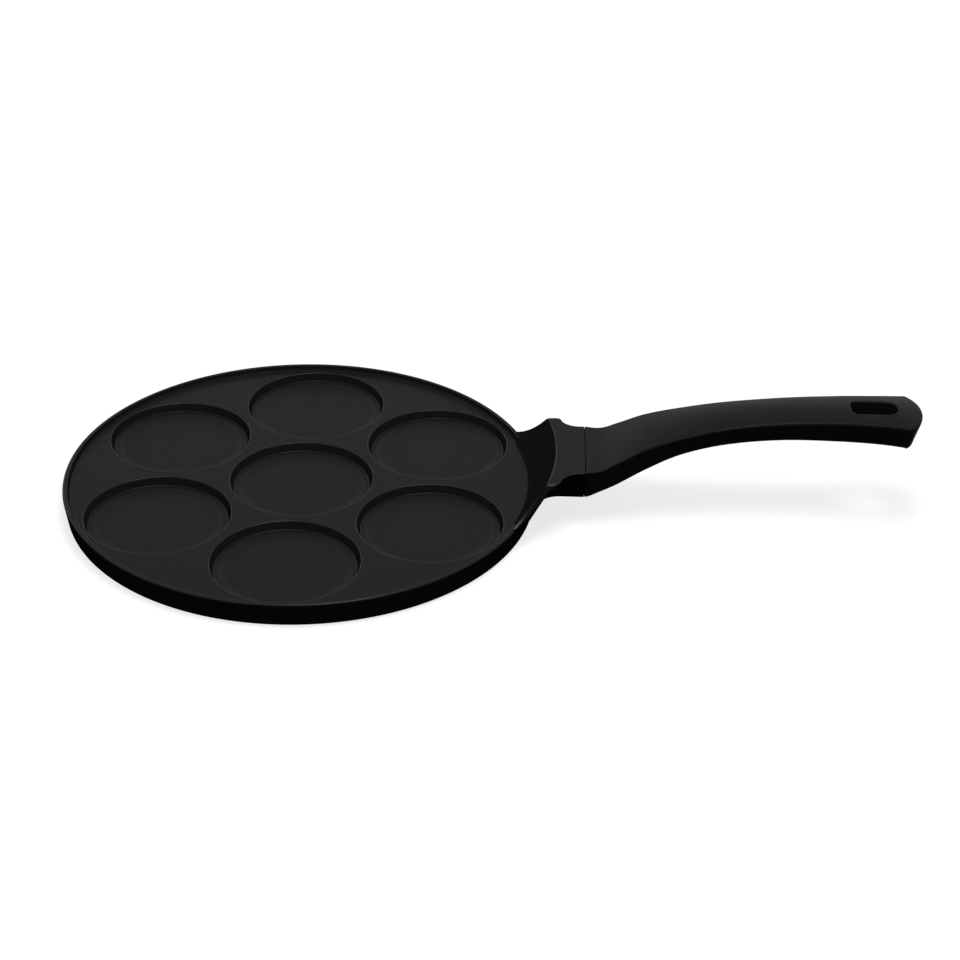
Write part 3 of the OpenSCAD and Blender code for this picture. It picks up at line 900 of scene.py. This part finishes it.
def coated_casting(colours):
    """Aluminium casting, shot-blasted and sprayed with a dark PTFE non-stick coat, its base turned bare.
    The blasting under the thin coat gives the eye a fine even stipple and a dull sheen, and no sharp
    reflection."""
    material, tree = new_material("Cast aluminium with sprayed PTFE")
    place_node = add_node(tree, "ShaderNodeTexCoord").outputs["Object"]
    # Stipple of the blasted casting, about 0.35 mm, drawn at 0.6 mm so that it shows
    stipple_settings = {"Scale": 1 / (0.6 * MM), "Detail": 3.0, "Roughness": 0.6}
    stipple = add_node(tree, "ShaderNodeTexNoise", stipple_settings, Vector=place_node).outputs[0]
    # Slow waves of the sprayed coat, about 9 mm
    spray_settings = {"Scale": 1 / (9 * MM), "Detail": 2.0}
    spray = add_node(tree, "ShaderNodeTexNoise", spray_settings, Vector=place_node).outputs[0]
    grain = add_node(tree, "ShaderNodeBump", {"Strength": 0.18, "Distance": 0.05 * MM}, Height=stipple)
    relief = {"Strength": 0.2, "Distance": 0.06 * MM}
    waves = add_node(tree, "ShaderNodeBump", relief, Height=spray, Normal=grain.outputs[0]).outputs[0]
    gloss_range = {"From Min": 0.3, "From Max": 0.7, "To Min": 0.3, "To Max": 0.38}
    gloss = add_node(tree, "ShaderNodeMapRange", gloss_range, Value=spray).outputs[0]
    fleck_range = {"From Min": 0.35, "From Max": 0.65, "To Min": 0.85, "To Max": 1.15}
    fleck = add_node(tree, "ShaderNodeMapRange", fleck_range, Value=stipple).outputs[0]
    base = linear(colours.coating)
    tone = add_node(tree, "ShaderNodeVectorMath", {"operation": "SCALE", 0: base[:3]}, Scale=fleck)
    # The specular level is painted by the way a face looks: faces that look sideways get none, which paints
    # shade on the walls, rounded edges get the most, which draws a painted highlight line along them, and
    # flat faces that look up get a lower painted sheen
    parts = add_node(tree, "ShaderNodeSeparateXYZ", Vector=place_node)
    edges = facing_up(tree, 0.66, 0.88, 0.0, PAINTED_EDGE_SHEEN)
    flats = facing_up(tree, 0.98, 0.999, 0.0, PAINTED_EDGE_SHEEN - PAINTED_FLAT_SHEEN)
    # The fillet between the baking surface and the rim gets no painted edge highlight and keeps the flat
    # faces' painted sheen
    band = {"operation": "COMPARE", 1: FILLET_MIDDLE, 2: FILLET_REACH}
    fillet = add_node(tree, "ShaderNodeMath", band, n0=parts.outputs[2]).outputs[0]
    share = {"operation": "MULTIPLY", 1: PAINTED_EDGE_SHEEN - PAINTED_FLAT_SHEEN}
    kept = add_node(tree, "ShaderNodeMath", share, n0=fillet).outputs[0]
    less = add_node(tree, "ShaderNodeMath", {"operation": "MAXIMUM"}, n0=flats, n1=kept).outputs[0]
    rest = {"operation": "SUBTRACT", "use_clamp": True}
    painted_sheen = add_node(tree, "ShaderNodeMath", rest, n0=edges, n1=less).outputs[0]
    coat = add_node(
        tree, "ShaderNodeBsdfPrincipled", None, Specular_IOR_Level=painted_sheen,
        Base_Color=tone.outputs[0], Roughness=gloss, Normal=waves,
    )
    # The base is turned on a lathe: bare metal with fine rings
    x, y = parts.outputs[0], parts.outputs[1]
    x2 = add_node(tree, "ShaderNodeMath", {"operation": "MULTIPLY"}, n0=x, n1=x).outputs[0]
    y2 = add_node(tree, "ShaderNodeMath", {"operation": "MULTIPLY_ADD"}, n0=y, n1=y, n2=x2).outputs[0]
    radius = add_node(tree, "ShaderNodeMath", {"operation": "SQRT"}, n0=y2).outputs[0]
    turns = {"operation": "MULTIPLY", 1: 2 * math.pi / RING_PITCH}
    phase = add_node(tree, "ShaderNodeMath", turns, n0=radius).outputs[0]
    wave = add_node(tree, "ShaderNodeMath", {"operation": "SINE"}, n0=phase).outputs[0]
    turned = add_node(tree, "ShaderNodeBump", {"Strength": 0.5, "Distance": 0.02 * MM}, Height=wave)
    metal_settings = {"Base Color": linear(colours.bare_base), "Metallic": 1.0, "Roughness": 0.38}
    metal = add_node(tree, "ShaderNodeBsdfPrincipled", metal_settings, Normal=turned.outputs[0])
    below, inside = {"operation": "LESS_THAN", 1: BARE_HEIGHT}, {"operation": "LESS_THAN", 1: BARE_RADIUS}
    low = add_node(tree, "ShaderNodeMath", below, n0=parts.outputs[2]).outputs[0]
    within = add_node(tree, "ShaderNodeMath", inside, n0=radius).outputs[0]
    bare = add_node(tree, "ShaderNodeMath", {"operation": "MULTIPLY"}, n0=low, n1=within).outputs[0]
    both = add_node(tree, "ShaderNodeMixShader", None, n0=bare, n1=coat.outputs[0], n2=metal.outputs[0])
    add_node(tree, "ShaderNodeOutputMaterial", Surface=both.outputs[0])
    return material


# Painted specular level of the resin on the handle's sides and on its top
PAINTED_SIDE_SHEEN = 0.0022
PAINTED_TOP_SHEEN = 0.0295


def phenolic_moulding(colours):
    """Phenolic resin, compression moulded in a fine spark-eroded tool. It is deep black and satin, with a
    very fine even grain, and a painted sheen on the faces that look up."""
    material, tree = new_material("Phenolic moulding")
    place_node = add_node(tree, "ShaderNodeTexCoord").outputs["Object"]
    # Tool grain about 0.2 mm, drawn at 0.4 mm so that it shows
    grain_settings = {"Scale": 1 / (0.4 * MM), "Detail": 2.0}
    grain = add_node(tree, "ShaderNodeTexNoise", grain_settings, Vector=place_node).outputs[0]
    # Cloudy gloss where the resin flowed, about 12 mm
    flow_settings = {"Scale": 1 / (12 * MM), "Detail": 3.0, "Distortion": 0.5}
    flow = add_node(tree, "ShaderNodeTexNoise", flow_settings, Vector=place_node).outputs[0]
    fine = add_node(tree, "ShaderNodeBump", {"Strength": 0.12, "Distance": 0.03 * MM}, Height=grain)
    gloss_range = {"From Min": 0.3, "From Max": 0.7, "To Min": 0.28, "To Max": 0.38}
    gloss = add_node(tree, "ShaderNodeMapRange", gloss_range, Value=flow).outputs[0]
    fleck_range = {"From Min": 0.35, "From Max": 0.65, "To Min": 0.92, "To Max": 1.08}
    fleck = add_node(tree, "ShaderNodeMapRange", fleck_range, Value=flow).outputs[0]
    base = linear(colours.phenolic)
    tone = add_node(tree, "ShaderNodeVectorMath", {"operation": "SCALE", 0: base[:3]}, Scale=fleck)
    # The specular level is painted by the way a face looks: a painted sheen on the top, and almost none on
    # the sides, which paints them dark
    painted_sheen = facing_up(tree, 0.4, 0.85, PAINTED_SIDE_SHEEN, PAINTED_TOP_SHEEN)
    resin = add_node(
        tree, "ShaderNodeBsdfPrincipled", None, Specular_IOR_Level=painted_sheen,
        Base_Color=tone.outputs[0], Roughness=gloss, Normal=fine.outputs[0],
    )
    add_node(tree, "ShaderNodeOutputMaterial", Surface=resin.outputs[0])
    return material


def turned_metal(name, colour, roughness, ring, centre):
    """A small metal part turned on a lathe, with rings about its own axis and faint handling marks."""
    material, tree = new_material(name)
    place_node = add_node(tree, "ShaderNodeTexCoord").outputs["Object"]
    shift = {"Location": (-centre[0], -centre[1], 0)}
    mapped = add_node(tree, "ShaderNodeMapping", shift, Vector=place_node)
    # The lathe's rings, about 0.1 mm apart, are drawn 2 pi times the length ring apart so that they show
    wave_settings = {
        "wave_type": "RINGS", "rings_direction": "Z",
        "Scale": 1 / ring / 20, "Distortion": 0.4, "Detail": 1.0,
    }
    rings = add_node(tree, "ShaderNodeTexWave", wave_settings, Vector=mapped.outputs[0])
    # Marks of handling, about 0.8 mm
    mark_settings = {"Scale": 1 / (0.8 * MM), "Detail": 4.0}
    marks = add_node(tree, "ShaderNodeTexNoise", mark_settings, Vector=place_node).outputs[0]
    relief = {"Strength": 0.3, "Distance": 0.02 * MM}
    turned = add_node(tree, "ShaderNodeBump", relief, Height=rings.outputs[1])
    rough_range = {"To Min": roughness - 0.06, "To Max": roughness + 0.08}
    rough = add_node(tree, "ShaderNodeMapRange", rough_range, Value=marks).outputs[0]
    metal = add_node(
        tree, "ShaderNodeBsdfPrincipled", {"Base Color": linear(colour), "Metallic": 1.0},
        Roughness=rough, Normal=turned.outputs[0],
    )
    add_node(tree, "ShaderNodeOutputMaterial", Surface=metal.outputs[0])
    return material


class PAN_OT_finish_fixings(bpy.types.Operator):
    """Gives the screw, its spring washer and the thread insert their metals"""
    bl_idname = "pan.finish_fixings"
    bl_label = "Finish the fixings"

    def execute(self, context):
        colours = context.scene.pan_finish
        low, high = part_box("handle_screw")
        centre = (low + high) / 2
        finishes = {
            "handle_screw": ("Zinc plated steel", colours.zinc, 0.3, 0.25 * MM),
            "spring_washer": ("Zinc plated spring steel", colours.spring, 0.45, 0.3 * MM),
            "thread_insert": ("Turned brass", colours.brass, 0.28, 0.2 * MM),
        }
        for node, (name, colour, roughness, ring) in finishes.items():
            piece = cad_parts[node]
            piece.data.materials.clear()
            piece.data.materials.append(turned_metal(name, colour, roughness, ring, centre))
        return {"FINISHED"}


# The stage

# The paper as the camera sees it, and as it throws light back at the pan
SHADOW_GREY = "#8b8b8b"
BOUNCE_GREY = "#303030"
# The paper's glow at the pan, and the distances in metres over which it rises to full white
NEAR_GLOW = 0.775
GLOW_START = 0.3
GLOW_END = 1.0
# Width of the floor in metres, and how far it lies under the base, so that the two faces stay apart
FLOOR_SIZE = 8
FLOOR_DROP = 0.15 * MM
# Where the lamp hangs, in metres from the middle of the pan
LAMP_X = 0.2
LAMP_Y = -0.24


def white_to_camera(tree):
    """1 for rays that show the background: from the camera, off a gloss or through glass."""
    path = add_node(tree, "ShaderNodeLightPath").outputs
    either, camera, gloss = {"operation": "MAXIMUM"}, path["Is Camera Ray"], path["Is Glossy Ray"]
    seen = add_node(tree, "ShaderNodeMath", either, n0=camera, n1=gloss).outputs[0]
    return add_node(tree, "ShaderNodeMath", either, n0=seen, n1=path["Is Transmission Ray"]).outputs[0]


def floor_paper(settings):
    """Matt white paper, which keeps the soft shadow, glows a little and throws little light back."""
    material, tree = new_material("Matt background paper")
    seen = white_to_camera(tree)
    paper = add_node(tree, "ShaderNodeBsdfDiffuse", {"Color": linear(SHADOW_GREY)})
    # The lamp's light falls off over the floor, so the glow rises to full white further out
    place_node = add_node(tree, "ShaderNodeTexCoord").outputs["Object"]
    away = add_node(tree, "ShaderNodeVectorMath", {"operation": "LENGTH"}, Vector=place_node)
    ramp = {
        "interpolation_type": "SMOOTHSTEP", "From Min": GLOW_START, "From Max": GLOW_END,
        "To Min": NEAR_GLOW, "To Max": 1.0,
    }
    strength = add_node(tree, "ShaderNodeMapRange", ramp, Value=away.outputs["Value"]).outputs[0]
    glow = add_node(tree, "ShaderNodeEmission", {"Color": linear(settings.floor_colour)}, Strength=strength)
    lit = add_node(tree, "ShaderNodeAddShader", None, n0=paper.outputs[0], n1=glow.outputs[0])
    dull = add_node(tree, "ShaderNodeBsdfDiffuse", {"Color": linear(BOUNCE_GREY)})
    mix = add_node(tree, "ShaderNodeMixShader", None, n0=seen, n1=dull.outputs[0], n2=lit.outputs[0])
    add_node(tree, "ShaderNodeOutputMaterial", Surface=mix.outputs[0])
    return material


class PAN_OT_set_stage(bpy.types.Operator):
    """Lays the floor, hangs the soft lamp and sets up the camera"""
    bl_idname = "pan.set_stage"
    bl_label = "Set the stage"

    def execute(self, context):
        scene = context.scene
        settings = scene.pan_stage
        deselect()
        bpy.ops.mesh.primitive_plane_add(size=FLOOR_SIZE)
        floor = named("floor")
        bpy.ops.object.mode_set(mode="EDIT")
        bpy.ops.mesh.select_all(action="SELECT")
        bpy.ops.transform.translate(value=(0, 0, -FLOOR_DROP))
        bpy.ops.object.mode_set(mode="OBJECT")
        floor.data.materials.append(floor_paper(settings))

        deselect()
        bpy.ops.object.light_add(type="AREA", location=(LAMP_X, LAMP_Y, settings.lamp_height))
        lamp = bpy.context.active_object
        lamp.rotation_euler = (-lamp.location).to_track_quat("-Z", "Y").to_euler()
        lamp.name = "soft_lamp"
        lamp.data.size = settings.lamp_size
        lamp.data.energy = settings.lamp_power

        world = bpy.data.worlds.new("studio")
        scene.world = world
        world.use_nodes = True
        tree = world.node_tree
        tree.nodes.clear()
        seen = white_to_camera(tree)
        dim = add_node(tree, "ShaderNodeBackground", {"Color": (1, 1, 1, 1), "Strength": settings.fill})
        white = add_node(tree, "ShaderNodeBackground", {"Color": (1, 1, 1, 1), "Strength": 1.0})
        mix = add_node(tree, "ShaderNodeMixShader", None, n0=seen, n1=dim.outputs[0], n2=white.outputs[0])
        add_node(tree, "ShaderNodeOutputWorld", Surface=mix.outputs[0])

        aim, place_at = Vector(settings.camera_aim), Vector(settings.camera_place)
        turned = (aim - place_at).to_track_quat("-Z", "Y").to_matrix()
        look = turned @ Matrix.Rotation(settings.camera_roll, 3, "Z")
        bpy.ops.object.camera_add(location=place_at, rotation=look.to_euler())
        camera = bpy.context.active_object
        camera.name = "camera"
        camera.data.lens = settings.lens
        camera.data.sensor_width = 36
        camera.data.clip_start = 0.05
        camera.data.clip_end = 30
        scene.camera = camera
        scene.view_settings.view_transform = "Standard"
        return {"FINISHED"}


class PAN_PT_sidebar(bpy.types.Panel):
    """Lists the pan's pieces and the stage"""
    bl_label = "Aebleskiver pan"
    bl_idname = "PAN_PT_sidebar"
    bl_space_type = "VIEW_3D"
    bl_region_type = "UI"
    bl_category = "Pan"

    def draw(self, context):
        for operator in OPERATORS:
            self.layout.operator(operator.bl_idname)
        for group in GROUPS:
            box = self.layout.box()
            owner = getattr(context.scene, group)
            for key in owner.__annotations__:
                box.prop(owner, key)


OPERATORS = (PAN_OT_cast_body, PAN_OT_mould_handle, PAN_OT_finish_fixings, PAN_OT_set_stage)
GROUPS = {
    "pan_casting": CastingSizes, "pan_handle": HandleSizes,
    "pan_finish": FinishColours, "pan_stage": StageSettings,
}


def register():
    for group in GROUPS.values():
        bpy.utils.register_class(group)
    for operator in OPERATORS:
        bpy.utils.register_class(operator)
    bpy.utils.register_class(PAN_PT_sidebar)
    for name, group in GROUPS.items():
        setattr(bpy.types.Scene, name, PointerProperty(type=group))


def unregister():
    for name in GROUPS:
        delattr(bpy.types.Scene, name)
    bpy.utils.unregister_class(PAN_PT_sidebar)
    for operator in reversed(OPERATORS):
        bpy.utils.unregister_class(operator)
    for group in reversed(GROUPS.values()):
        bpy.utils.unregister_class(group)


def main():
    register()
    bpy.ops.pan.cast_body()
    bpy.ops.pan.mould_handle()
    bpy.ops.pan.finish_fixings()
    bpy.ops.pan.set_stage()


if __name__ == "__main__":
    main()
